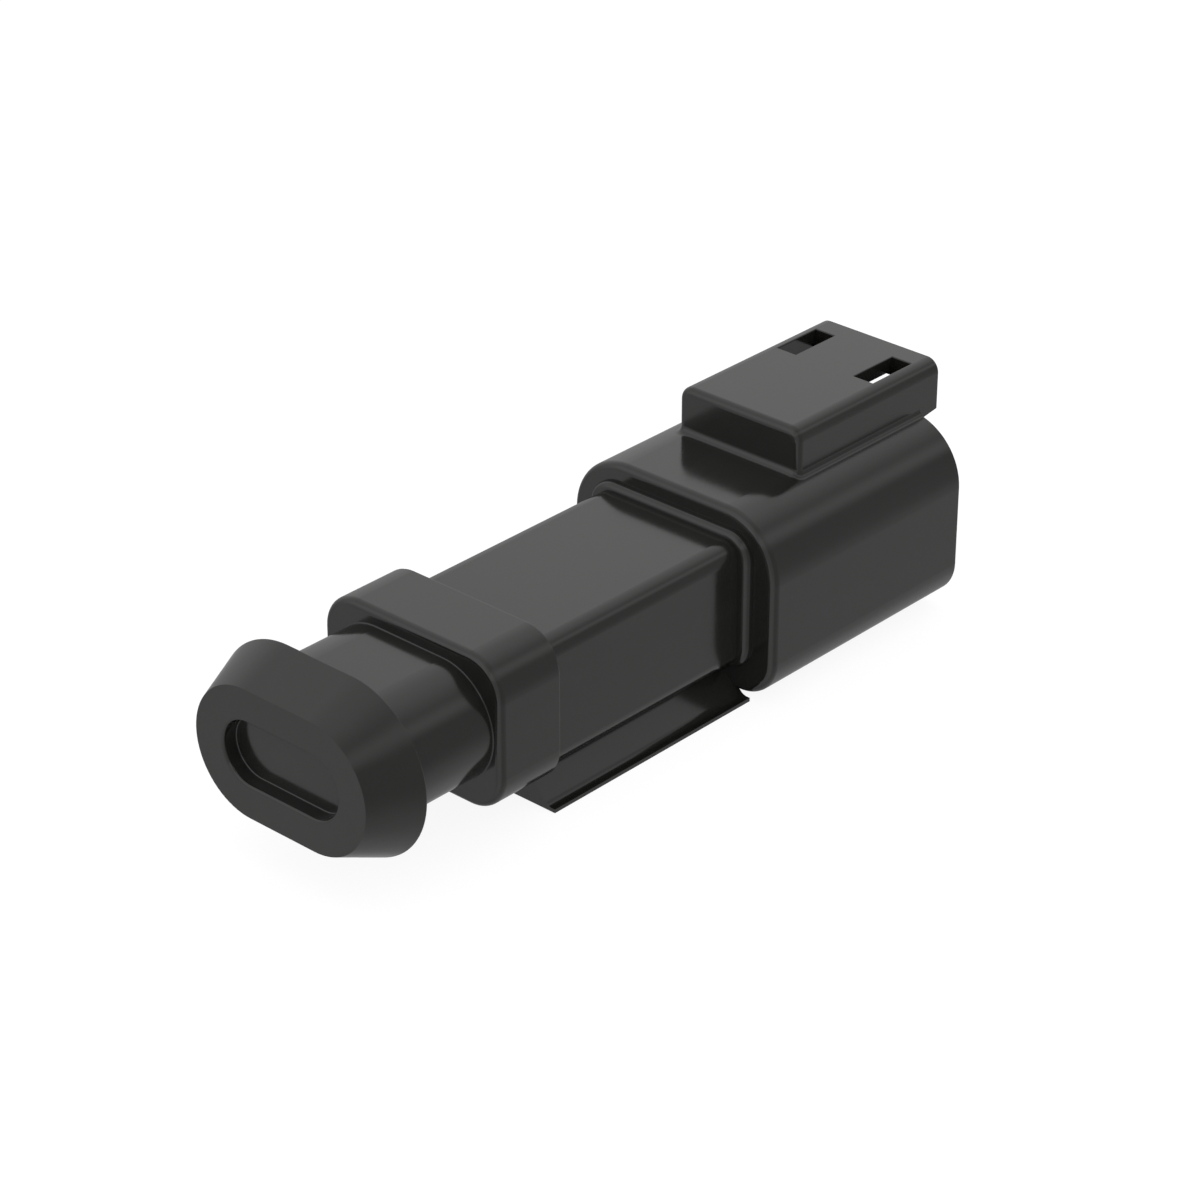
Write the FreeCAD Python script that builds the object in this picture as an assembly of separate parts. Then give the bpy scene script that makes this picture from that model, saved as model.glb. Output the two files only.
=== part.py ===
import FreeCAD, Part
import math
import os

# Two-way sealed connector, pin half, with a closed boot adapter on its rear.
# X runs along the connector and points out of the mating shroud, Y runs across
# it and Z points up. The origin is the middle of the foot of the mounting rail.
# Everything is in millimetres.

# Half the width of the lip of the adapter, the widest piece
HALF_WIDTH = 10.79

# Stations along X, counted from the rear face of the adapter
LENGTH_LIP = 4.45
STATION_NECK_END = 13.58
STATION_BODY_REAR = 14.8
STATION_COLLAR_FRONT = 20.12
STATION_RAIL_REAR = 20.6
STATION_SHROUD_REAR = 43.15
STATION_RAIL_FRONT = 43.5
STATION_TOWER_REAR = 51.02
STATION_WINDOW_REAR = 61.94
STATION_WINDOW_FRONT = 66.95
STATION_SHROUD_FRONT = 66.75
STATION_TOWER_FRONT = 69.0

# Heights above the foot of the rail
BODY_BOTTOM = 3.11
BODY_TOP = 14.36
SHROUD_BOTTOM = 0.7
SHROUD_TOP = 16.65
TOWER_TOP = 20.69
OVERHANG_REAR_BOTTOM = 15.95
OVERHANG_FRONT_BOTTOM = 16.25
CONTACT_AXIS_Z = 8.7
BOOT_AXIS_Z = 9.71
COLLAR_AXIS_Z = 9.55

# Boot adapter
LIP_FLARE = 1.88
LIP_FRONT_HALF_HEIGHT = 7.48
LIP_REAR_HALF_HEIGHT = 5.51
NECK_INSET = 2.29
NECK_HALF_HEIGHT = 5.04
COLLAR_INSET = 1.54
COLLAR_HALF_HEIGHT = 6.56
COLLAR_RADIUS = 3.35
COLLAR_EDGE_RADIUS = 0.62
COLLAR_FRONT_RADIUS = 0.2
RECESS_INSET = 4.81
RECESS_HALF_HEIGHT = 2.67
RECESS_DEPTH = 1.3
RECESS_EDGE_RADIUS = 0.25
ADAPTER_WALL = 1.3

# Housing body, ring and shroud
BODY_INSET = 3.34
BODY_TOP_RADIUS = 1.4
BODY_BOTTOM_RADIUS = 1.5
RING_SIDE_RAISE = 1.0
RING_TOP_RAISE = 0.68
RING_BOTTOM_RAISE = 0.4
RING_LENGTH = 0.7
RING_EDGE_RADIUS = 0.6
SHROUD_INSET = 0.12
SHROUD_TOP_RADIUS = 5.41
SHROUD_BOTTOM_RADIUS = 3.5
SHROUD_EDGE_RADIUS = 0.65
SHROUD_WALL = 1.6
SHROUD_FLOOR = 1.95
MOUTH_CHAMFER = 0.5

# Mounting rail: a thin flange at the foot, then flanks that close upwards
RAIL_INSET = 2.67
RAIL_FLANGE_THICKNESS = 0.32
RAIL_KNEE_INSET = 0.66
RAIL_KNEE_RADIUS = 1.0
RAIL_ROOT_INSET = 3.36
RAIL_ROOT_RADIUS = 0.4

# Latch tower
TOWER_INSET = 4.49
TOWER_TOP_RADIUS = 1.15
TOWER_REAR_RADIUS = 0.62
TOWER_ROOT_RADIUS = 0.61
TOWER_SIDE_WALL = 0.9
TOWER_REAR_WALL = 1.3
TOWER_ROOF = 1.27
CATCH_DEPTH = 0.42
WINDOW_LEDGE = 0.13
WINDOW_RIM_RADIUS = 0.1
WINDOW_WIDTH = 1.95

# Snap ridges between the housing and the adapter
SNAP_STATION = 17.5
SNAP_LENGTH = 1.4
SNAP_HEIGHT = 0.45
SNAP_SPAN = 5.0

# Contacts, with lengths along X counted from the floor of the cavity
CONTACT_PITCH = 5.8
PIN_RADIUS = 0.785
PIN_REACH = 16.0
PIN_ROOT_REACH = 7.2
SHAFT_RADIUS = 1.1
GROOVE_RADIUS = 0.85
GROOVE_REACH = 1.2
GROOVE_LENGTH = 1.2
STOP_RADIUS = 1.475
STOP_LENGTH = 2.5
STOP_DEPTH = 0.9
BARREL_RADIUS = 1.3
BARREL_LENGTH = 7.0
BARREL_DEPTH = 18.9
WIRE_HOLE_RADIUS = 0.88
WIRE_HOLE_DEPTH = 5.5
CONTACT_CHAMFER = 0.3

# Silo in the middle of the shroud, its bores, pocket and locking fingers
SILO_HALF = (6.6, 4.1)
SILO_RADIUS = 1.8
SILO_LENGTH = 5.6
BORE_RADIUS = 1.55
BORE_STEP_DEPTH = 0.8
FRONT_HOLE_RADIUS = 1.18
POCKET_HALF = (5.2, 2.9)
POCKET_RADIUS = 0.8
FINGER_HALF_WIDTH = 0.9
FINGER_THICKNESS = 0.6
FINGER_GAP = 0.15
FINGER_LENGTH = 2.3
NOSE_GAP = 0.1
NOSE_REACH = 1.35
NOSE_LENGTH = 0.9

# Wire seal
SEAL_POCKET_HALF = (6.0, 4.0)
SEAL_POCKET_RADIUS = 3.0
SEAL_POCKET_DEPTH = 8.1
SEAL_GAP = 0.05
SEAL_REAR_GAP = 0.2
SEAL_RIB_HEIGHT = 0.5
SEAL_RIB_RADIUS = 0.4
SEAL_RIBS = 3
SEAL_WIRE_RADIUS = 1.05

# Wedge lock
WEDGE_GAP = 0.08
WEDGE_FLANGE_INSET = 0.5
WEDGE_FLANGE_THICKNESS = 1.6
WEDGE_FLANGE_RADIUS = 0.3
WEDGE_TONGUE_THICKNESS = 0.8
WEDGE_TONGUE_REACH = 0.6
WEDGE_WEB_HALF = 0.95
WEDGE_SLOT_HALF = (1.2, 0.7)
WEDGE_SLOT_DEPTH = 1.1

# Clearance of a moulded piece round another that it doesn't grip
SLIP = 0.05
# Rounding of the edges and inner corners that look sharp
EDGE_BREAK = 0.12
# How far a solid is sunk into its neighbour before the two are joined, or a
# cut is run on past the face that it opens
SINK = 0.5

# Sizes that follow from the ones above
RAIL_MIDDLE = (STATION_RAIL_REAR + STATION_RAIL_FRONT) / 2
STATION_CAVITY_FLOOR = STATION_SHROUD_REAR + SHROUD_FLOOR
STATION_SILO_FRONT = STATION_CAVITY_FLOOR + SILO_LENGTH
STATION_SEAL_FLOOR = STATION_BODY_REAR + SEAL_POCKET_DEPTH
LIP_REAR_HALF = (HALF_WIDTH - LIP_FLARE, LIP_REAR_HALF_HEIGHT)
LIP_FRONT_HALF = (HALF_WIDTH, LIP_FRONT_HALF_HEIGHT)
RECESS_HALF = (HALF_WIDTH - RECESS_INSET, RECESS_HALF_HEIGHT)
NECK_HALF = (HALF_WIDTH - NECK_INSET, NECK_HALF_HEIGHT)
COLLAR_HALF = (HALF_WIDTH - COLLAR_INSET, COLLAR_HALF_HEIGHT)
BODY_HALF_WIDTH = HALF_WIDTH - BODY_INSET
SHROUD_HALF_WIDTH = HALF_WIDTH - SHROUD_INSET
STATION_RING_REAR = STATION_SHROUD_REAR - RING_LENGTH
RAIL_HALF_WIDTH = HALF_WIDTH - RAIL_INSET
RAIL_KNEE_HALF_WIDTH = RAIL_HALF_WIDTH - RAIL_KNEE_INSET
RAIL_ROOT_HALF_WIDTH = RAIL_HALF_WIDTH - RAIL_ROOT_INSET
TOWER_HALF_WIDTH = HALF_WIDTH - TOWER_INSET
WINDOW_OUTER = TOWER_HALF_WIDTH - TOWER_TOP_RADIUS - WINDOW_LEDGE
WINDOW_INNER = WINDOW_OUTER - WINDOW_WIDTH


def at(station):
    """X of a station counted from the rear face."""
    return station - RAIL_MIDDLE


def ahead(length):
    """Station that lies a length in front of the floor of the cavity."""
    return STATION_CAVITY_FLOOR + length


def section(station, half_width, bottom, top, radius_bottom, radius_top):
    """Closed rounded rectangle across the connector."""
    x = at(station)
    s = math.sqrt(0.5)
    y = half_width
    rb = radius_bottom
    rt = radius_top

    def p(py, pz):
        return FreeCAD.Vector(x, py, pz)

    def arc(a, b, c):
        return Part.Arc(p(*a), p(*b), p(*c)).toShape()

    def line(a, b):
        if p(*a).distanceToPoint(p(*b)) < 1e-6:
            return []
        return [Part.makeLine(p(*a), p(*b))]

    edges = line((-y + rb, bottom), (y - rb, bottom))
    edges += [arc((y - rb, bottom), (y - rb + rb * s, bottom + rb - rb * s), (y, bottom + rb))]
    edges += line((y, bottom + rb), (y, top - rt))
    edges += [arc((y, top - rt), (y - rt + rt * s, top - rt + rt * s), (y - rt, top))]
    edges += line((y - rt, top), (-y + rt, top))
    edges += [arc((-y + rt, top), (-y + rt - rt * s, top - rt + rt * s), (-y, top - rt))]
    edges += line((-y, top - rt), (-y, bottom + rb))
    edges += [arc((-y, bottom + rb), (-y + rb - rb * s, bottom + rb - rb * s), (-y + rb, bottom))]
    return Part.Wire(edges)


def middle_section(station, half, radius, grow=0.0):
    """Rounded rectangle round the middle of the two contacts."""
    z = CONTACT_AXIS_Z
    r = radius + grow
    return section(station, half[0] + grow, z - half[1] - grow, z + half[1] + grow, r, r)


def stadium(station, half, axis_z):
    """Closed stadium across the connector, its ends full half circles."""
    r = half[1]
    x = at(station)
    y = half[0] - r

    def p(py, pz):
        return FreeCAD.Vector(x, py, axis_z + pz)

    return Part.Wire([
        Part.makeLine(p(-y, -r), p(y, -r)),
        Part.Arc(p(y, -r), p(y + r, 0), p(y, r)).toShape(),
        Part.makeLine(p(y, r), p(-y, r)),
        Part.Arc(p(-y, r), p(-y - r, 0), p(-y, -r)).toShape(),
    ])


def run(wire, length):
    """Solid that carries a section forward along X."""
    return Part.Face(wire).extrude(FreeCAD.Vector(length, 0, 0))


def block(s0, s1, y0, y1, z0, z1):
    """Plain box between two stations."""
    corner = FreeCAD.Vector(at(s0), y0, z0)
    return Part.makeBox(s1 - s0, y1 - y0, z1 - z0, corner)


def rod(s0, s1, radius, y, z):
    """Round bar or hole along X."""
    start = FreeCAD.Vector(at(s0), y, z)
    return Part.makeCylinder(radius, s1 - s0, start, FreeCAD.Vector(1, 0, 0))


def edges_across(shape, station):
    """Edges that lie in the plane across the connector at a station."""
    x = at(station)
    found = []
    for edge in shape.Edges:
        box = edge.BoundBox
        if abs(box.XMin - x) < 1e-4 and abs(box.XMax - x) < 1e-4:
            found.append(edge)
    return found


def edges_along(shape, half_width, height):
    """Straight edges along X at a distance to either side and a height."""
    found = []
    for edge in shape.Edges:
        box = edge.BoundBox
        straight = box.YLength < 1e-3 and box.ZLength < 1e-3
        if straight and abs(abs(box.YMax) - half_width) < 1e-3 and abs(box.ZMax - height) < 1e-3:
            found.append(edge)
    return found


def body_section(station, grow=0.0):
    """Outline of the housing's middle, grown by a clearance."""
    return section(station, BODY_HALF_WIDTH + grow, BODY_BOTTOM - grow, BODY_TOP + grow,
                   BODY_BOTTOM_RADIUS + grow, BODY_TOP_RADIUS + grow)


def snap_ridges(grow=0.0):
    """Wedge-shaped ridges on both sides of the housing's tail."""
    half = SNAP_LENGTH / 2 + grow
    out = BODY_HALF_WIDTH + SNAP_HEIGHT + grow
    root = BODY_HALF_WIDTH - SINK
    span = SNAP_SPAN + 2 * grow
    z0 = (BODY_BOTTOM + BODY_TOP) / 2 - span / 2
    ridges = []
    for side in (-1, 1):
        points = [
            FreeCAD.Vector(at(SNAP_STATION - half), side * root, z0),
            FreeCAD.Vector(at(SNAP_STATION + half), side * root, z0),
            FreeCAD.Vector(at(SNAP_STATION + half), side * out, z0),
            FreeCAD.Vector(at(SNAP_STATION + half / 2), side * out, z0),
            FreeCAD.Vector(at(SNAP_STATION - half), side * (BODY_HALF_WIDTH + grow), z0),
        ]
        face = Part.Face(Part.makePolygon(points + points[:1]))
        ridges.append(face.extrude(FreeCAD.Vector(0, 0, span)))
    return ridges


def edges_near_axis(shape, station, half_height):
    """Edges across the adapter within a height above and below its axis."""
    found = []
    for edge in edges_across(shape, station):
        low = BOOT_AXIS_Z - half_height - SLIP
        high = BOOT_AXIS_Z + half_height + SLIP
        if edge.BoundBox.ZMin > low and edge.BoundBox.ZMax < high:
            found.append(edge)
    return found


def boot_lip():
    """Flared lip with a blank stadium recess in its rear face."""
    rear = stadium(0, LIP_REAR_HALF, BOOT_AXIS_Z)
    front = stadium(LENGTH_LIP, LIP_FRONT_HALF, BOOT_AXIS_Z)
    lip = Part.makeLoft([rear, front], True, True)
    lip = lip.makeFillet(EDGE_BREAK, edges_across(lip, LENGTH_LIP))
    lip = lip.cut(run(stadium(-SINK, RECESS_HALF, BOOT_AXIS_Z), RECESS_DEPTH + SINK))
    lip = lip.makeFillet(EDGE_BREAK, edges_near_axis(lip, RECESS_DEPTH, RECESS_HALF[1]))
    return lip.makeFillet(RECESS_EDGE_RADIUS, edges_near_axis(lip, 0, RECESS_HALF[1]))


def boot_collar():
    """Rounded collar that sits over the tail of the housing."""
    collar = run(section(STATION_NECK_END, COLLAR_HALF[0], COLLAR_AXIS_Z - COLLAR_HALF[1],
                         COLLAR_AXIS_Z + COLLAR_HALF[1], COLLAR_RADIUS, COLLAR_RADIUS),
                 STATION_COLLAR_FRONT - STATION_NECK_END)
    collar = collar.makeFillet(COLLAR_EDGE_RADIUS, edges_across(collar, STATION_NECK_END))
    return collar.makeFillet(COLLAR_FRONT_RADIUS, edges_across(collar, STATION_COLLAR_FRONT))


def boot_adapter():
    """Lip, neck and collar in one moulding, closed by a web near its rear."""
    neck = run(stadium(LENGTH_LIP - SINK, NECK_HALF, BOOT_AXIS_Z), STATION_NECK_END - LENGTH_LIP + 2 * SINK)
    outside = boot_lip().fuse([neck, boot_collar()]).removeSplitter()
    outside = outside.makeFillet(EDGE_BREAK, edges_near_axis(outside, STATION_NECK_END, NECK_HALF[1]))
    web_front = RECESS_DEPTH + ADAPTER_WALL
    hollow_half = (NECK_HALF[0] - ADAPTER_WALL, NECK_HALF[1] - ADAPTER_WALL)
    hollow = run(stadium(web_front, hollow_half, BOOT_AXIS_Z), STATION_BODY_REAR - web_front + SINK)
    socket = run(body_section(STATION_BODY_REAR, SLIP), STATION_COLLAR_FRONT - STATION_BODY_REAR + SINK)
    return outside.cut([hollow, socket] + snap_ridges(SLIP))


def shroud_outside():
    """Big rounded mating shroud, its rear edge rounded over."""
    shroud = run(section(STATION_SHROUD_REAR, SHROUD_HALF_WIDTH, SHROUD_BOTTOM, SHROUD_TOP,
                         SHROUD_BOTTOM_RADIUS, SHROUD_TOP_RADIUS),
                 STATION_SHROUD_FRONT - STATION_SHROUD_REAR)
    return shroud.makeFillet(SHROUD_EDGE_RADIUS, edges_across(shroud, STATION_SHROUD_REAR))


def ring_outside():
    """Raised step round the body just behind the shroud."""
    ring = run(section(STATION_RING_REAR, BODY_HALF_WIDTH + RING_SIDE_RAISE,
                       BODY_BOTTOM - RING_BOTTOM_RAISE, BODY_TOP + RING_TOP_RAISE,
                       BODY_BOTTOM_RADIUS + RING_SIDE_RAISE, BODY_TOP_RADIUS + RING_SIDE_RAISE),
               RING_LENGTH + SINK)
    return ring.makeFillet(RING_EDGE_RADIUS, edges_across(ring, STATION_RING_REAR))


def rail_outside():
    """Dovetail rail under the body: thin foot flange and hollow-cornered flanks."""
    x = at(STATION_RAIL_REAR)
    half = [
        (RAIL_HALF_WIDTH, 0),
        (RAIL_HALF_WIDTH, RAIL_FLANGE_THICKNESS),
        (RAIL_KNEE_HALF_WIDTH, RAIL_FLANGE_THICKNESS),
        (RAIL_ROOT_HALF_WIDTH, BODY_BOTTOM),
        (RAIL_ROOT_HALF_WIDTH, BODY_BOTTOM + SINK),
    ]
    points = [FreeCAD.Vector(x, y, z) for y, z in half]
    points += [FreeCAD.Vector(x, -y, z) for y, z in reversed(half)]
    face = Part.Face(Part.makePolygon(points + points[:1]))
    rail = face.extrude(FreeCAD.Vector(STATION_RAIL_FRONT - STATION_RAIL_REAR, 0, 0))
    knees = edges_along(rail, RAIL_KNEE_HALF_WIDTH, RAIL_FLANGE_THICKNESS)
    return rail.makeFillet(RAIL_KNEE_RADIUS, knees)


def tower_section(station, bottom):
    """Outline of the latch tower, square at its bottom."""
    return section(station, TOWER_HALF_WIDTH, bottom, TOWER_TOP, EDGE_BREAK, TOWER_TOP_RADIUS)


def tower_outside():
    """Latch tower over the shroud, rounded along its top and at its rear."""
    tower = run(tower_section(STATION_TOWER_REAR, SHROUD_TOP - SHROUD_WALL / 2),
                STATION_SHROUD_FRONT - STATION_TOWER_REAR)
    edges = []
    for edge in edges_across(tower, STATION_TOWER_REAR):
        if edge.BoundBox.ZMax > SHROUD_TOP:
            edges.append(edge)
    return tower.makeFillet(TOWER_REAR_RADIUS, edges)


def tower_overhang():
    """Front end of the tower, which reaches past the mouth of the shroud."""
    rear = tower_section(STATION_SHROUD_FRONT, OVERHANG_REAR_BOTTOM)
    front = tower_section(STATION_TOWER_FRONT, OVERHANG_FRONT_BOTTOM)
    return Part.makeLoft([rear, front], True, True)


def tower_root_edges(shape):
    """Edges where the tower stands on the shroud."""
    found = []
    low = SHROUD_TOP - SHROUD_WALL / 4
    near = TOWER_HALF_WIDTH + SLIP
    for edge in shape.Edges:
        box = edge.BoundBox
        inside = box.XMin > at(STATION_TOWER_REAR) - SLIP and box.XMax < at(STATION_SHROUD_FRONT) + SLIP
        level = box.ZMin > low and box.ZMax < SHROUD_TOP + SLIP
        at_mouth = abs(box.XMin - at(STATION_SHROUD_FRONT)) < SLIP / 5
        if inside and level and not at_mouth and abs(box.YMax) < near:
            found.append(edge)
    return found


def cavity_section(station, wall):
    """Outline of the shroud's inside, a wall thickness within its outside."""
    return section(station, SHROUD_HALF_WIDTH - wall, SHROUD_BOTTOM + wall, SHROUD_TOP - wall,
                   SHROUD_BOTTOM_RADIUS - wall, SHROUD_TOP_RADIUS - wall)


def mating_cavity():
    """Room for the plug inside the shroud, round the silo in its middle."""
    room = run(cavity_section(STATION_CAVITY_FLOOR, SHROUD_WALL),
               STATION_SHROUD_FRONT - STATION_CAVITY_FLOOR + SINK)
    silo = run(middle_section(STATION_CAVITY_FLOOR - SINK, SILO_HALF, SILO_RADIUS), SILO_LENGTH + SINK)
    inner = cavity_section(STATION_SHROUD_FRONT - MOUTH_CHAMFER, SHROUD_WALL)
    outer = cavity_section(STATION_SHROUD_FRONT, SHROUD_WALL - MOUTH_CHAMFER)
    return [room.cut(silo), Part.makeLoft([inner, outer], True, True)]


def latch_channel():
    """Hollow of the tower, open to the front and down to the cavity."""
    y = TOWER_HALF_WIDTH - TOWER_SIDE_WALL
    roof = TOWER_TOP - TOWER_ROOF
    front = STATION_TOWER_FRONT + SINK
    floor = SHROUD_TOP - SHROUD_WALL - SINK
    channel = block(STATION_TOWER_REAR + TOWER_REAR_WALL, front, -y, y, floor, roof)
    catch = block(STATION_WINDOW_FRONT, front, -y, y, roof - CATCH_DEPTH, roof)
    return channel.cut(catch)


def windows():
    """Two openings in the tower's roof that catch the plug's latch."""
    z0 = TOWER_TOP - TOWER_ROOF - SINK
    z1 = TOWER_TOP + SINK
    return [
        block(STATION_WINDOW_REAR, STATION_WINDOW_FRONT, WINDOW_INNER, WINDOW_OUTER, z0, z1),
        block(STATION_WINDOW_REAR, STATION_WINDOW_FRONT, -WINDOW_OUTER, -WINDOW_INNER, z0, z1),
    ]


def window_rims(shape):
    """Upper edges of the two windows."""
    found = []
    for edge in shape.Edges:
        box = edge.BoundBox
        on_roof = box.ZLength < 1e-3 and abs(box.ZMax - TOWER_TOP) < 1e-3
        inside = box.XMin > at(STATION_WINDOW_REAR) - SLIP and box.XMax < at(STATION_WINDOW_FRONT) + SLIP
        across = max(abs(box.YMin), abs(box.YMax)) < WINDOW_OUTER + SLIP
        if on_roof and inside and across:
            found.append(edge)
    return found


def wedge_pocket():
    """Pocket in the silo's front, with the locking fingers left standing."""
    pocket = run(middle_section(STATION_CAVITY_FLOOR, POCKET_HALF, POCKET_RADIUS), SILO_LENGTH + SINK)
    inner = SHAFT_RADIUS + FINGER_GAP
    nose = GROOVE_RADIUS + NOSE_GAP
    overlap = FINGER_THICKNESS / 2
    fingers = []
    for side in (-1, 1):
        y0 = side * CONTACT_PITCH / 2 - FINGER_HALF_WIDTH
        y1 = y0 + 2 * FINGER_HALF_WIDTH
        for up in (-1, 1):
            z = sorted([CONTACT_AXIS_Z + up * inner, CONTACT_AXIS_Z + up * (inner + FINGER_THICKNESS)])
            n = sorted([CONTACT_AXIS_Z + up * nose, CONTACT_AXIS_Z + up * (inner + overlap)])
            fingers.append(block(ahead(-SINK), ahead(FINGER_LENGTH), y0, y1, z[0], z[1]))
            fingers.append(block(ahead(NOSE_REACH), ahead(NOSE_REACH + NOSE_LENGTH), y0, y1, n[0], n[1]))
    return pocket.cut(fingers)


def contact_bores():
    """Stepped bores that the contacts are pushed into from the rear."""
    step = ahead(-BORE_STEP_DEPTH)
    cuts = []
    for side in (-1, 1):
        y = side * CONTACT_PITCH / 2
        cuts.append(rod(STATION_SEAL_FLOOR - SINK, step, BORE_RADIUS, y, CONTACT_AXIS_Z))
        cuts.append(rod(step - SINK, ahead(SINK), FRONT_HOLE_RADIUS, y, CONTACT_AXIS_Z))
    return cuts


def seal_pocket():
    """Rear pocket of the housing that takes the wire seal."""
    return run(middle_section(STATION_BODY_REAR - SINK, SEAL_POCKET_HALF, SEAL_POCKET_RADIUS),
               SEAL_POCKET_DEPTH + SINK)


def housing():
    """One moulding: body, rail, step ring, shroud and latch tower."""
    shell = shroud_outside().fuse(tower_outside())
    shell = shell.makeFillet(TOWER_ROOT_RADIUS, tower_root_edges(shell))
    body = run(body_section(STATION_BODY_REAR), STATION_SHROUD_REAR - STATION_BODY_REAR + SINK)
    middle = body.fuse(rail_outside())
    middle = middle.makeFillet(RAIL_ROOT_RADIUS, edges_along(middle, RAIL_ROOT_HALF_WIDTH, BODY_BOTTOM))
    outside = shell.fuse([middle, ring_outside(), tower_overhang()] + snap_ridges())
    cuts = mating_cavity() + [latch_channel()] + windows() + [wedge_pocket()]
    cuts += contact_bores() + [seal_pocket()]
    moulding = outside.cut(cuts).removeSplitter()
    return moulding.makeFillet(WINDOW_RIM_RADIUS, window_rims(moulding))


def contact_pin(side):
    """Turned contact: crimp barrel, shaft, stop collar, groove and pin."""
    barrel_rear = ahead(-BARREL_DEPTH)
    barrel_front = barrel_rear + BARREL_LENGTH
    hole_floor = barrel_rear + WIRE_HOLE_DEPTH
    stop_front = ahead(-STOP_DEPTH)
    groove = ahead(GROOVE_REACH)
    tip_start = ahead(PIN_REACH - PIN_RADIUS)
    profile = [
        (hole_floor, 0),
        (hole_floor, WIRE_HOLE_RADIUS),
        (barrel_rear, WIRE_HOLE_RADIUS),
        (barrel_rear, BARREL_RADIUS),
        (barrel_front - CONTACT_CHAMFER, BARREL_RADIUS),
        (barrel_front, SHAFT_RADIUS),
        (stop_front - STOP_LENGTH, SHAFT_RADIUS),
        (stop_front - STOP_LENGTH, STOP_RADIUS),
        (stop_front, STOP_RADIUS),
        (stop_front, SHAFT_RADIUS),
        (groove, SHAFT_RADIUS),
        (groove, GROOVE_RADIUS),
        (groove + GROOVE_LENGTH, GROOVE_RADIUS),
        (groove + GROOVE_LENGTH, SHAFT_RADIUS),
        (ahead(PIN_ROOT_REACH) - CONTACT_CHAMFER, SHAFT_RADIUS),
        (ahead(PIN_ROOT_REACH), PIN_RADIUS),
        (tip_start, PIN_RADIUS),
    ]
    points = [FreeCAD.Vector(at(s), r, 0) for s, r in profile]
    tip = FreeCAD.Vector(at(ahead(PIN_REACH)), 0, 0)
    slant = PIN_RADIUS * math.sqrt(0.5)
    shoulder = FreeCAD.Vector(at(tip_start) + slant, slant, 0)
    edges = Part.makePolygon(points).Edges
    edges.append(Part.Arc(points[-1], shoulder, tip).toShape())
    edges.append(Part.makeLine(tip, points[0]))
    face = Part.Face(Part.Wire(edges))
    solid = face.revolve(FreeCAD.Vector(0, 0, 0), FreeCAD.Vector(1, 0, 0), 360)
    solid.translate(FreeCAD.Vector(0, side * CONTACT_PITCH / 2, CONTACT_AXIS_Z))
    return solid


def wire_seal():
    """Ribbed rubber block with a hole for each wire."""
    rear = STATION_BODY_REAR + SEAL_REAR_GAP
    front = STATION_SEAL_FLOOR

    def slab(s0, s1, inset):
        return run(middle_section(s0, SEAL_POCKET_HALF, SEAL_POCKET_RADIUS, -inset), s1 - s0)

    seal = slab(rear, front, SEAL_GAP + SEAL_RIB_HEIGHT)
    step = (front - rear) / SEAL_RIBS
    ribs = []
    for n in range(SEAL_RIBS):
        start = rear + n * step + step / 4
        rib = slab(start, start + step / 2, SEAL_GAP)
        edges = edges_across(rib, start) + edges_across(rib, start + step / 2)
        ribs.append(rib.makeFillet(SEAL_RIB_RADIUS, edges))
    seal = seal.fuse(ribs)
    holes = []
    for side in (-1, 1):
        y = side * CONTACT_PITCH / 2
        holes.append(rod(rear - SINK, front + SINK, SEAL_WIRE_RADIUS, y, CONTACT_AXIS_Z))
    return seal.cut(holes)


def wedge_lock():
    """Plug that keeps the fingers shut: flange, two tongues and a web."""
    front = STATION_SILO_FRONT + WEDGE_FLANGE_THICKNESS
    tongue_rear = ahead(WEDGE_TONGUE_REACH)
    z = CONTACT_AXIS_Z
    flange = run(middle_section(STATION_SILO_FRONT, SILO_HALF, SILO_RADIUS, -WEDGE_FLANGE_INSET),
                 WEDGE_FLANGE_THICKNESS)
    flange = flange.makeFillet(WEDGE_FLANGE_RADIUS, edges_across(flange, front))
    core = run(middle_section(tongue_rear, POCKET_HALF, POCKET_RADIUS, -WEDGE_GAP),
               STATION_SILO_FRONT - tongue_rear + SINK)
    out = POCKET_HALF[0] + SINK
    inner = POCKET_HALF[1] - WEDGE_GAP - WEDGE_TONGUE_THICKNESS
    gaps = [
        block(tongue_rear - SINK, STATION_SILO_FRONT, WEDGE_WEB_HALF, out, z - inner, z + inner),
        block(tongue_rear - SINK, STATION_SILO_FRONT, -out, -WEDGE_WEB_HALF, z - inner, z + inner),
    ]
    wedge = flange.fuse(core.cut(gaps))
    slot_y, slot_z = WEDGE_SLOT_HALF
    cuts = [block(front - WEDGE_SLOT_DEPTH, front + SINK, -slot_y, slot_y, z - slot_z, z + slot_z)]
    for side in (-1, 1):
        y = side * CONTACT_PITCH / 2
        cuts.append(rod(STATION_SILO_FRONT - SINK, front + SINK, FRONT_HOLE_RADIUS, y, z))
    return wedge.cut(cuts)


def one_solid(shape):
    """The single solid of a shape, or an error when it isn't one."""
    shape = shape.removeSplitter()
    if len(shape.Solids) != 1:
        raise ValueError("expected one solid, found %d" % len(shape.Solids))
    solid = shape.Solids[0]
    if not solid.isValid():
        raise ValueError("the solid is not valid")
    return solid


def main():
    os.makedirs("parts", exist_ok=True)
    pieces = {
        "housing": housing(),
        "boot_adapter": boot_adapter(),
        "wire_seal": wire_seal(),
        "wedge_lock": wedge_lock(),
        "contact_pin_left": contact_pin(1),
        "contact_pin_right": contact_pin(-1),
    }
    for name, shape in pieces.items():
        one_solid(shape).exportStep("parts/%s.step" % name)


main()
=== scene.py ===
import math

import bpy
import numpy as np
from bpy.props import FloatProperty, FloatVectorProperty, PointerProperty
from mathutils import Matrix, Vector

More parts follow.
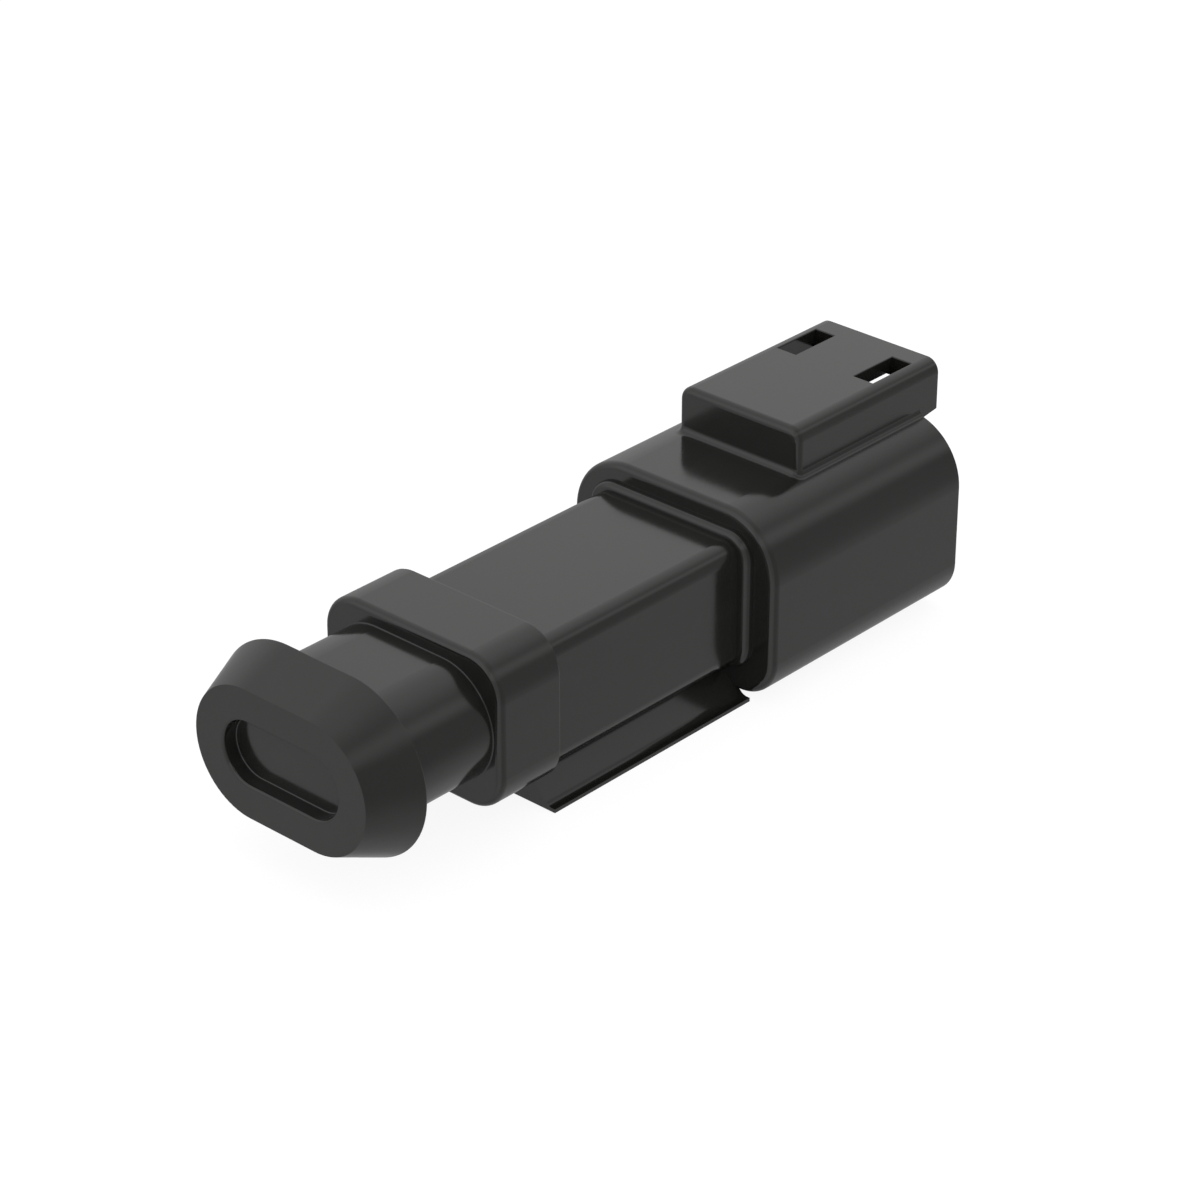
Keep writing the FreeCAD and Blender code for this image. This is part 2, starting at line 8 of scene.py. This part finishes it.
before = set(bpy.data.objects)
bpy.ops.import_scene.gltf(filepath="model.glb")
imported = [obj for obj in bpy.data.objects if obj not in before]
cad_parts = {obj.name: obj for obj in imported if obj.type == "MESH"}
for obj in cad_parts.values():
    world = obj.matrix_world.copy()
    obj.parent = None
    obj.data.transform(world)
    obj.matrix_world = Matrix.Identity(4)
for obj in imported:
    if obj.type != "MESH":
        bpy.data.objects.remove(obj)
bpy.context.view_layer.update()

bl_info = {
    "name": "Sealed connector",
    "version": (1, 0, 0),
    "blender": (4, 5, 0),
    "location": "View3D > Sidebar > Connector",
    "description": "Finishes a sealed two-way connector and lights it in a plain studio",
    "category": "Object",
}

# The camera of the photograph: it looks at the target from the distance given,
# moved aside and up in its own plane. Lengths are in metres, and the origin is
# the middle of the foot of the rail.
VIEW_AZIMUTH = math.radians(42.24)
VIEW_ELEVATION = math.radians(28.695)
VIEW_ROLL = math.radians(0.047)
VIEW_DISTANCE = 0.298414
VIEW_ASIDE = 0.001764
VIEW_UP = 0.005562
VIEW_TARGET = Vector((-0.00005, 0.0, 0.004556))
SENSOR_WIDTH = 0.036
LENS = 0.113712
CLIP_START = 0.01
CLIP_END = 20.0
MM_PER_METRE = 1000

# The moulded skin: how much longer a flow line is than wide, how many of them
# lie across one soft patch, and how deep they are beside the grain.
FLOW_SQUEEZE = 0.08
FLOW_LINES = 4.0
FLOW_DEPTH = 0.35

# The turned metal: how fine its smears are, how much they shift the roughness,
# and the depth of one mark of the tool.
SMEAR_SCALE = 900.0
SMEAR_ROUGHNESS = 0.12
TOOL_MARK_DEPTH = 0.0000015

# How much each moulding's colour and roughness vary
PLASTIC_SHIFTS = (0.25, 0.05)
LOCK_SHIFTS = (0.12, 0.08)
SEAL_SHIFTS = (0.2, 0.12)

# The rubber's skin beside the plastic's: wider and deeper grain, smaller patches
SEAL_GRAIN = 2
SEAL_GRAIN_DEPTH = 4
SEAL_CLOUDS = 3

# What the camera sees of the floor: its own white and a share of the light on it
FLOOR_WHITE = 0.90
FLOOR_LIT_SHARE = 0.16
WHITE = (1.0, 1.0, 1.0, 1.0)

# What glossy rays see: a grey studio, three soft lights and one at the -X end.
# A soft light lies along the part. It has its middle and width in degrees round
# X (0 is +Y, 90 is overhead, 180 is -Y), the width of its edge, and its level.
STUDIO_LEVEL = 0.4
OVERHEAD = (60, 100, 60, 0.6)
EDGE_LIGHT = (135, 20, 20, 0.5)
LOW_SIDE = (240, 60, 40, 0.2)
SOFT_LIGHTS = (OVERHEAD, EDGE_LIGHT, LOW_SIDE)
END_LEVEL = 0.3
END_START = -0.3
END_FULL = -0.7


# Settings that a user would change

class PlasticFinish(bpy.types.PropertyGroup):
    """Moulded plastic of the housing and the adapter."""

    colour: FloatVectorProperty(
        name="Colour", description="Colour of the moulded plastic", subtype="COLOR",
        size=3, min=0.0, max=1.0, default=(0.012, 0.012, 0.011))
    roughness: FloatProperty(
        name="Roughness", description="Roughness of the satin skin", subtype="FACTOR",
        min=0.0, max=1.0, default=0.14)
    grain: FloatProperty(
        name="Grain", description="Width of one grain of the mould's spark texture",
        subtype="DISTANCE", unit="LENGTH", min=0.00001, max=0.002, default=0.00009)
    grain_depth: FloatProperty(
        name="Grain depth", description="Depth of the grain", subtype="DISTANCE",
        unit="LENGTH", min=0.0, max=0.0001, default=0.0000006)
    cloud: FloatProperty(
        name="Cloud", description="Width of the soft patches in the skin",
        subtype="DISTANCE", unit="LENGTH", min=0.0005, max=0.05, default=0.006)


class LockFinish(bpy.types.PropertyGroup):
    """Plastic of the wedge lock."""

    colour: FloatVectorProperty(
        name="Colour", description="Colour of the wedge lock", subtype="COLOR",
        size=3, min=0.0, max=1.0, default=(0.78, 0.19, 0.018))
    roughness: FloatProperty(
        name="Roughness", description="Roughness of the wedge lock", subtype="FACTOR",
        min=0.0, max=1.0, default=0.38)


class SealFinish(bpy.types.PropertyGroup):
    """Rubber of the wire seal."""

    colour: FloatVectorProperty(
        name="Colour", description="Colour of the silicone rubber", subtype="COLOR",
        size=3, min=0.0, max=1.0, default=(0.38, 0.075, 0.035))
    roughness: FloatProperty(
        name="Roughness", description="Roughness of the rubber", subtype="FACTOR",
        min=0.0, max=1.0, default=0.6)


class ContactFinish(bpy.types.PropertyGroup):
    """Plated metal of the contacts."""

    colour: FloatVectorProperty(
        name="Colour", description="Colour of the plating", subtype="COLOR",
        size=3, min=0.0, max=1.0, default=(0.66, 0.62, 0.54))
    roughness: FloatProperty(
        name="Roughness", description="Roughness of the turned metal", subtype="FACTOR",
        min=0.0, max=1.0, default=0.27)
    tool_pitch: FloatProperty(
        name="Tool pitch", description="Distance between two marks of the turning tool",
        subtype="DISTANCE", unit="LENGTH", min=0.00001, max=0.001, default=0.00008)


class StudioSettings(bpy.types.PropertyGroup):
    """Floor and light round the part."""

    floor_size: FloatProperty(
        name="Floor", description="Length of each side of the floor", subtype="DISTANCE",
        unit="LENGTH", min=0.2, max=20.0, default=4.0)
    floor_tone: FloatProperty(
        name="Floor tone", description="How pale the floor is", subtype="FACTOR",
        min=0.0, max=1.0, default=0.8)
    dome: FloatProperty(
        name="Dome", description="Level of the even light from all round",
        min=0.0, max=2.0, default=1.0)


# Shader helpers

def socket(tree, name, kind, output=False, default=None):
    """Adds a named socket to a node group."""
    made = tree.interface.new_socket(
        name=name, in_out="OUTPUT" if output else "INPUT", socket_type="NodeSocket" + kind)
    if default is not None:
        made.default_value = default
    return made


def node(tree, kind, **values):
    """Adds a node and sets its options."""
    made = tree.nodes.new("ShaderNode" + kind)
    for name, value in values.items():
        setattr(made, name, value)
    return made


def calculate(tree, operation, a, b=None, c=None):
    """One Math node; each term is a number or the socket that feeds it."""
    made = node(tree, "Math", operation=operation)
    for place, term in enumerate((a, b, c)):
        if term is None:
            continue
        if isinstance(term, (int, float)):
            made.inputs[place].default_value = term
        else:
            tree.links.new(term, made.inputs[place])
    return made.outputs[0]


def moulded_skin_group():
    """Skin of a moulded piece: a fine grain, soft patches and faint flow lines.

    The grain is small noise. The patches are wide noise, which shifts the
    roughness and the colour a little. The flow lines are noise stretched along
    the connector, as the plastic ran from the gate.
    """
    tree = bpy.data.node_groups.new("moulded skin", "ShaderNodeTree")
    socket(tree, "Vector", "Vector")
    socket(tree, "Colour", "Color", default=(0.02, 0.02, 0.02, 1.0))
    socket(tree, "Colour shift", "Float", default=0.1)
    socket(tree, "Roughness", "Float", default=0.3)
    socket(tree, "Roughness shift", "Float", default=0.03)
    socket(tree, "Grain width", "Float", default=0.0001)
    socket(tree, "Cloud width", "Float", default=0.006)
    socket(tree, "Colour", "Color", output=True)
    socket(tree, "Roughness", "Float", output=True)
    socket(tree, "Height", "Float", output=True)
    given = tree.nodes.new("NodeGroupInput")
    out = tree.nodes.new("NodeGroupOutput")

    grain = node(tree, "TexNoise")
    grain.inputs["Detail"].default_value = 1.0
    tree.links.new(given.outputs["Vector"], grain.inputs["Vector"])
    scale = calculate(tree, "DIVIDE", 1.0, given.outputs["Grain width"])
    tree.links.new(scale, grain.inputs["Scale"])

    cloud = node(tree, "TexNoise")
    cloud.inputs["Detail"].default_value = 2.0
    tree.links.new(given.outputs["Vector"], cloud.inputs["Vector"])
    scale = calculate(tree, "DIVIDE", 1.0, given.outputs["Cloud width"])
    tree.links.new(scale, cloud.inputs["Scale"])

    stretch = node(tree, "Mapping")
    stretch.inputs["Scale"].default_value = (FLOW_SQUEEZE, 1.0, 1.0)
    tree.links.new(given.outputs["Vector"], stretch.inputs["Vector"])
    flow = node(tree, "TexNoise")
    flow.inputs["Detail"].default_value = 1.0
    tree.links.new(stretch.outputs["Vector"], flow.inputs["Vector"])
    scale = calculate(tree, "DIVIDE", FLOW_LINES, given.outputs["Cloud width"])
    tree.links.new(scale, flow.inputs["Scale"])

    drift = calculate(tree, "ADD", cloud.outputs["Fac"], flow.outputs["Fac"])
    drift = calculate(tree, "SUBTRACT", drift, 1.0)
    change = calculate(tree, "MULTIPLY", drift, given.outputs["Roughness shift"])
    rough = calculate(tree, "ADD", change, given.outputs["Roughness"])
    tree.links.new(rough, out.inputs["Roughness"])

    tone = calculate(tree, "MULTIPLY_ADD", drift, given.outputs["Colour shift"], 1.0)
    shade = node(tree, "HueSaturation")
    tree.links.new(given.outputs["Colour"], shade.inputs["Color"])
    tree.links.new(tone, shade.inputs["Value"])
    tree.links.new(shade.outputs["Color"], out.inputs["Colour"])

    height = calculate(tree, "MULTIPLY_ADD", flow.outputs["Fac"], FLOW_DEPTH,
                       grain.outputs["Fac"])
    tree.links.new(height, out.inputs["Height"])
    return tree


def turned_group():
    """Marks of a turning tool: fine rings at an even pitch along X."""
    tree = bpy.data.node_groups.new("turned metal", "ShaderNodeTree")
    socket(tree, "Vector", "Vector")
    socket(tree, "Roughness", "Float", default=0.3)
    socket(tree, "Tool pitch", "Float", default=0.0001)
    socket(tree, "Roughness", "Float", output=True)
    socket(tree, "Height", "Float", output=True)
    given = tree.nodes.new("NodeGroupInput")
    out = tree.nodes.new("NodeGroupOutput")

    parts = node(tree, "SeparateXYZ")
    tree.links.new(given.outputs["Vector"], parts.inputs["Vector"])
    turns = calculate(tree, "DIVIDE", parts.outputs["X"], given.outputs["Tool pitch"])
    rings = calculate(tree, "SINE", calculate(tree, "MULTIPLY", turns, 2 * math.pi))
    smear = node(tree, "TexNoise")
    smear.inputs["Scale"].default_value = SMEAR_SCALE
    tree.links.new(given.outputs["Vector"], smear.inputs["Vector"])
    uneven = calculate(tree, "MULTIPLY", rings, smear.outputs["Fac"])
    tree.links.new(uneven, out.inputs["Height"])
    rough = calculate(tree, "MULTIPLY_ADD", smear.outputs["Fac"], SMEAR_ROUGHNESS,
                      given.outputs["Roughness"])
    tree.links.new(rough, out.inputs["Roughness"])
    return tree


def shared(build):
    """The node group that a function builds, built once."""
    name = build.__doc__.split(":")[0]
    for tree in bpy.data.node_groups:
        if tree.get("made_by") == name:
            return tree
    tree = build()
    tree["made_by"] = name
    return tree


def blank_material(name):
    """A material with a Principled shader and the piece's own coordinates."""
    material = bpy.data.materials.new(name)
    material.use_nodes = True
    tree = material.node_tree
    shader = tree.nodes["Principled BSDF"]
    place = node(tree, "TexCoord")
    return material, tree, shader, place


def bumped(tree, shader, height, depth):
    """Feeds a height into the shader's normal through a Bump node."""
    bump = node(tree, "Bump")
    bump.inputs["Strength"].default_value = 1.0
    bump.inputs["Distance"].default_value = depth
    tree.links.new(height, bump.inputs["Height"])
    tree.links.new(bump.outputs["Normal"], shader.inputs["Normal"])


def moulded_material(name, finish, grain, depth, cloud, shifts):
    """Moulded piece in one colour with the shared skin."""
    colour_shift, roughness_shift = shifts
    material, tree, shader, place = blank_material(name)
    skin = node(tree, "Group")
    skin.node_tree = shared(moulded_skin_group)
    skin.inputs["Colour"].default_value = (*finish.colour, 1.0)
    skin.inputs["Colour shift"].default_value = colour_shift
    skin.inputs["Roughness"].default_value = finish.roughness
    skin.inputs["Roughness shift"].default_value = roughness_shift
    skin.inputs["Grain width"].default_value = grain
    skin.inputs["Cloud width"].default_value = cloud
    tree.links.new(place.outputs["Object"], skin.inputs["Vector"])
    tree.links.new(skin.outputs["Colour"], shader.inputs["Base Color"])
    tree.links.new(skin.outputs["Roughness"], shader.inputs["Roughness"])
    bumped(tree, shader, skin.outputs["Height"], depth)
    return material


def plastic_material(name):
    """Satin charcoal plastic."""
    finish = bpy.context.scene.connector_plastic
    return moulded_material(name, finish, finish.grain, finish.grain_depth,
                            finish.cloud, PLASTIC_SHIFTS)


def lock_material():
    """Smooth orange plastic."""
    finish = bpy.context.scene.connector_lock
    plastic = bpy.context.scene.connector_plastic
    return moulded_material("wedge_orange", finish, plastic.grain, plastic.grain_depth,
                            plastic.cloud, LOCK_SHIFTS)


def seal_material():
    """Soft rubber, matt and a little dusty."""
    finish = bpy.context.scene.connector_seal
    plastic = bpy.context.scene.connector_plastic
    return moulded_material("seal_silicone", finish, SEAL_GRAIN * plastic.grain,
                            SEAL_GRAIN_DEPTH * plastic.grain_depth,
                            plastic.cloud / SEAL_CLOUDS, SEAL_SHIFTS)


def contact_material():
    """Plated metal with the rings of the turning tool."""
    finish = bpy.context.scene.connector_contact
    material, tree, shader, place = blank_material("contact_plating")
    turned = node(tree, "Group")
    turned.node_tree = shared(turned_group)
    turned.inputs["Roughness"].default_value = finish.roughness
    turned.inputs["Tool pitch"].default_value = finish.tool_pitch
    tree.links.new(place.outputs["Object"], turned.inputs["Vector"])
    tree.links.new(turned.outputs["Roughness"], shader.inputs["Roughness"])
    shader.inputs["Base Color"].default_value = (*finish.colour, 1.0)
    shader.inputs["Metallic"].default_value = 1.0
    bumped(tree, shader, turned.outputs["Height"], TOOL_MARK_DEPTH)
    return material


def dress(name, material):
    """Gives a carried-over solid its finish."""
    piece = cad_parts[name]
    for place in piece.material_slots:
        place.material = material


# Stage

def floor_mesh(size):
    """Flat square, z = 0 over the grid of x and y from minus to plus half its size."""
    half = size / 2
    x, y = np.meshgrid(np.array([-half, half]), np.array([-half, half]))
    corners = np.stack([x.ravel(), y.ravel(), np.zeros(4)], axis=1)
    mesh = bpy.data.meshes.new("floor")
    mesh.from_pydata(corners.tolist(), [], [(0, 1, 3, 2)])
    mesh.update()
    return mesh


def floor_material(tone):
    """Pale floor that the camera sees as white, with the part's shadow on it.

    Light Path tells the camera's rays apart: they see the floor's own white
    and a small share of the light that falls on it. Other rays see its tone.
    """
    material = bpy.data.materials.new("floor_white")
    material.use_nodes = True
    tree = material.node_tree
    tree.nodes.clear()
    path = node(tree, "LightPath")
    lit = node(tree, "BsdfDiffuse")
    lit.inputs["Color"].default_value = (tone, tone, tone, 1.0)
    lit_little = node(tree, "BsdfDiffuse")
    lit_little.inputs["Color"].default_value = (*[FLOOR_LIT_SHARE] * 3, 1.0)
    white = node(tree, "Emission")
    white.inputs["Color"].default_value = WHITE
    white.inputs["Strength"].default_value = FLOOR_WHITE
    seen = node(tree, "AddShader")
    tree.links.new(lit_little.outputs[0], seen.inputs[0])
    tree.links.new(white.outputs[0], seen.inputs[1])
    pick = node(tree, "MixShader")
    tree.links.new(path.outputs["Is Camera Ray"], pick.inputs["Fac"])
    tree.links.new(lit.outputs[0], pick.inputs[1])
    tree.links.new(seen.outputs[0], pick.inputs[2])
    out = node(tree, "OutputMaterial")
    tree.links.new(pick.outputs[0], out.inputs["Surface"])
    return material


def soft_light(tree, angle, light):
    """Level of one soft light: full inside, falling smoothly at both edges."""
    middle, width, edge, level = light
    apart = calculate(tree, "SUBTRACT", angle, math.radians(middle))
    apart = calculate(tree, "WRAP", apart, math.pi, -math.pi)
    apart = calculate(tree, "ABSOLUTE", apart)
    fall = node(tree, "MapRange", interpolation_type="SMOOTHSTEP")
    fall.inputs["From Min"].default_value = math.radians((width + edge) / 2)
    fall.inputs["From Max"].default_value = math.radians((width - edge) / 2)
    fall.inputs["To Min"].default_value = 0.0
    fall.inputs["To Max"].default_value = level
    tree.links.new(apart, fall.inputs["Value"])
    return fall.outputs["Result"]


def studio_level(tree):
    """Level that a glossy ray meets in each direction."""
    place = node(tree, "TexCoord")
    parts = node(tree, "SeparateXYZ")
    tree.links.new(place.outputs["Generated"], parts.inputs["Vector"])
    angle = calculate(tree, "ARCTAN2", parts.outputs["Z"], parts.outputs["Y"])
    ending = node(tree, "MapRange", interpolation_type="SMOOTHSTEP")
    ending.inputs["From Min"].default_value = END_START
    ending.inputs["From Max"].default_value = END_FULL
    ending.inputs["To Min"].default_value = 0.0
    ending.inputs["To Max"].default_value = END_LEVEL
    tree.links.new(parts.outputs["X"], ending.inputs["Value"])
    total = calculate(tree, "ADD", ending.outputs["Result"], STUDIO_LEVEL)
    for light in SOFT_LIGHTS:
        total = calculate(tree, "ADD", total, soft_light(tree, angle, light))
    return total


def build_world(dome):
    """Even white dome, with soft lights that only glossy rays pick out."""
    world = bpy.data.worlds.new("studio")
    bpy.context.scene.world = world
    world.use_nodes = True
    tree = world.node_tree
    tree.nodes.clear()
    path = node(tree, "LightPath")
    even = node(tree, "Background")
    even.inputs["Strength"].default_value = dome
    soft = node(tree, "Background")
    tree.links.new(studio_level(tree), soft.inputs["Strength"])
    white = node(tree, "Background")
    for shade in (even, soft, white):
        shade.inputs["Color"].default_value = WHITE
    glossy = node(tree, "MixShader")
    tree.links.new(path.outputs["Is Glossy Ray"], glossy.inputs["Fac"])
    tree.links.new(even.outputs[0], glossy.inputs[1])
    tree.links.new(soft.outputs[0], glossy.inputs[2])
    seen = node(tree, "MixShader")
    tree.links.new(path.outputs["Is Camera Ray"], seen.inputs["Fac"])
    tree.links.new(glossy.outputs[0], seen.inputs[1])
    tree.links.new(white.outputs[0], seen.inputs[2])
    out = node(tree, "OutputWorld")
    tree.links.new(seen.outputs[0], out.inputs["Surface"])


def place_camera():
    """Camera at the photograph's place, looking down along its azimuth."""
    ahead = Vector((math.cos(VIEW_AZIMUTH) * math.cos(VIEW_ELEVATION),
                    math.sin(VIEW_AZIMUTH) * math.cos(VIEW_ELEVATION),
                    -math.sin(VIEW_ELEVATION)))
    level = Vector((math.sin(VIEW_AZIMUTH), -math.cos(VIEW_AZIMUTH), 0.0))
    above = level.cross(ahead)
    right = level * math.cos(VIEW_ROLL) + above * math.sin(VIEW_ROLL)
    up = above * math.cos(VIEW_ROLL) - level * math.sin(VIEW_ROLL)
    spot = VIEW_TARGET - VIEW_DISTANCE * ahead + VIEW_ASIDE * right + VIEW_UP * up
    lens = bpy.data.cameras.new("camera")
    lens.sensor_fit = "HORIZONTAL"
    lens.sensor_width = SENSOR_WIDTH * MM_PER_METRE
    lens.lens = LENS * MM_PER_METRE
    lens.clip_start = CLIP_START
    lens.clip_end = CLIP_END
    camera = bpy.data.objects.new("camera", lens)
    bpy.context.scene.collection.objects.link(camera)
    turn = Matrix((right, up, -ahead)).transposed().to_4x4()
    camera.matrix_world = Matrix.Translation(spot) @ turn
    bpy.context.scene.camera = camera


# Operators: one for each piece or group of like pieces, and one for the stage

class CONNECTOR_OT_shells(bpy.types.Operator):
    """Finish the housing and the boot adapter in charcoal plastic"""

    bl_idname = "connector.shells"
    bl_label = "Housing and adapter"

    def execute(self, context):
        dress("housing", plastic_material("housing_charcoal"))
        dress("boot_adapter", plastic_material("adapter_charcoal"))
        return {"FINISHED"}


class CONNECTOR_OT_lock(bpy.types.Operator):
    """Finish the wedge lock in orange plastic"""

    bl_idname = "connector.lock"
    bl_label = "Wedge lock"

    def execute(self, context):
        dress("wedge_lock", lock_material())
        return {"FINISHED"}


class CONNECTOR_OT_seal(bpy.types.Operator):
    """Finish the wire seal in silicone rubber"""

    bl_idname = "connector.seal"
    bl_label = "Wire seal"

    def execute(self, context):
        dress("wire_seal", seal_material())
        return {"FINISHED"}


class CONNECTOR_OT_contacts(bpy.types.Operator):
    """Finish both contacts in plated metal"""

    bl_idname = "connector.contacts"
    bl_label = "Contacts"

    def execute(self, context):
        plating = contact_material()
        for side in ("left", "right"):
            dress("contact_pin_" + side, plating)
        return {"FINISHED"}


class CONNECTOR_OT_stage(bpy.types.Operator):
    """Make the floor, the light and the camera"""

    bl_idname = "connector.stage"
    bl_label = "Stage"

    def execute(self, context):
        studio = context.scene.connector_studio
        floor = bpy.data.objects.new("floor", floor_mesh(studio.floor_size))
        floor.data.materials.append(floor_material(studio.floor_tone))
        floor.visible_glossy = False
        context.scene.collection.objects.link(floor)
        build_world(studio.dome)
        place_camera()
        context.scene.view_settings.view_transform = "Standard"
        return {"FINISHED"}


class CONNECTOR_PT_panel(bpy.types.Panel):
    """Lists the steps that dress the connector."""

    bl_label = "Sealed connector"
    bl_idname = "CONNECTOR_PT_panel"
    bl_space_type = "VIEW_3D"
    bl_region_type = "UI"
    bl_category = "Connector"

    def draw(self, context):
        scene = context.scene
        groups = (
            (scene.connector_plastic, CONNECTOR_OT_shells),
            (scene.connector_lock, CONNECTOR_OT_lock),
            (scene.connector_seal, CONNECTOR_OT_seal),
            (scene.connector_contact, CONNECTOR_OT_contacts),
            (scene.connector_studio, CONNECTOR_OT_stage),
        )
        for settings, step in groups:
            box = self.layout.box()
            box.operator(step.bl_idname)
            for name in settings.__annotations__:
                box.prop(settings, name)


SETTINGS = {
    "connector_plastic": PlasticFinish,
    "connector_lock": LockFinish,
    "connector_seal": SealFinish,
    "connector_contact": ContactFinish,
    "connector_studio": StudioSettings,
}
STEPS = (
    CONNECTOR_OT_shells,
    CONNECTOR_OT_lock,
    CONNECTOR_OT_seal,
    CONNECTOR_OT_contacts,
    CONNECTOR_OT_stage,
)


def register():
    """Registers the settings, the operators and the panel."""
    for name, group in SETTINGS.items():
        bpy.utils.register_class(group)
        setattr(bpy.types.Scene, name, PointerProperty(type=group))
    for step in STEPS:
        bpy.utils.register_class(step)
    bpy.utils.register_class(CONNECTOR_PT_panel)


def unregister():
    """Takes away what register made."""
    bpy.utils.unregister_class(CONNECTOR_PT_panel)
    for step in reversed(STEPS):
        bpy.utils.unregister_class(step)
    for name, group in SETTINGS.items():
        delattr(bpy.types.Scene, name)
        bpy.utils.unregister_class(group)


def corners(box):
    """A box as two plain lists of numbers."""
    return [list(corner) for corner in box]


def main():
    """Dresses the connector, sets its stage and writes both boxes."""
    register()
    bpy.ops.connector.shells()
    bpy.ops.connector.lock()
    bpy.ops.connector.seal()
    bpy.ops.connector.contacts()
    bpy.ops.connector.stage()


if __name__ == "__main__":
    main()
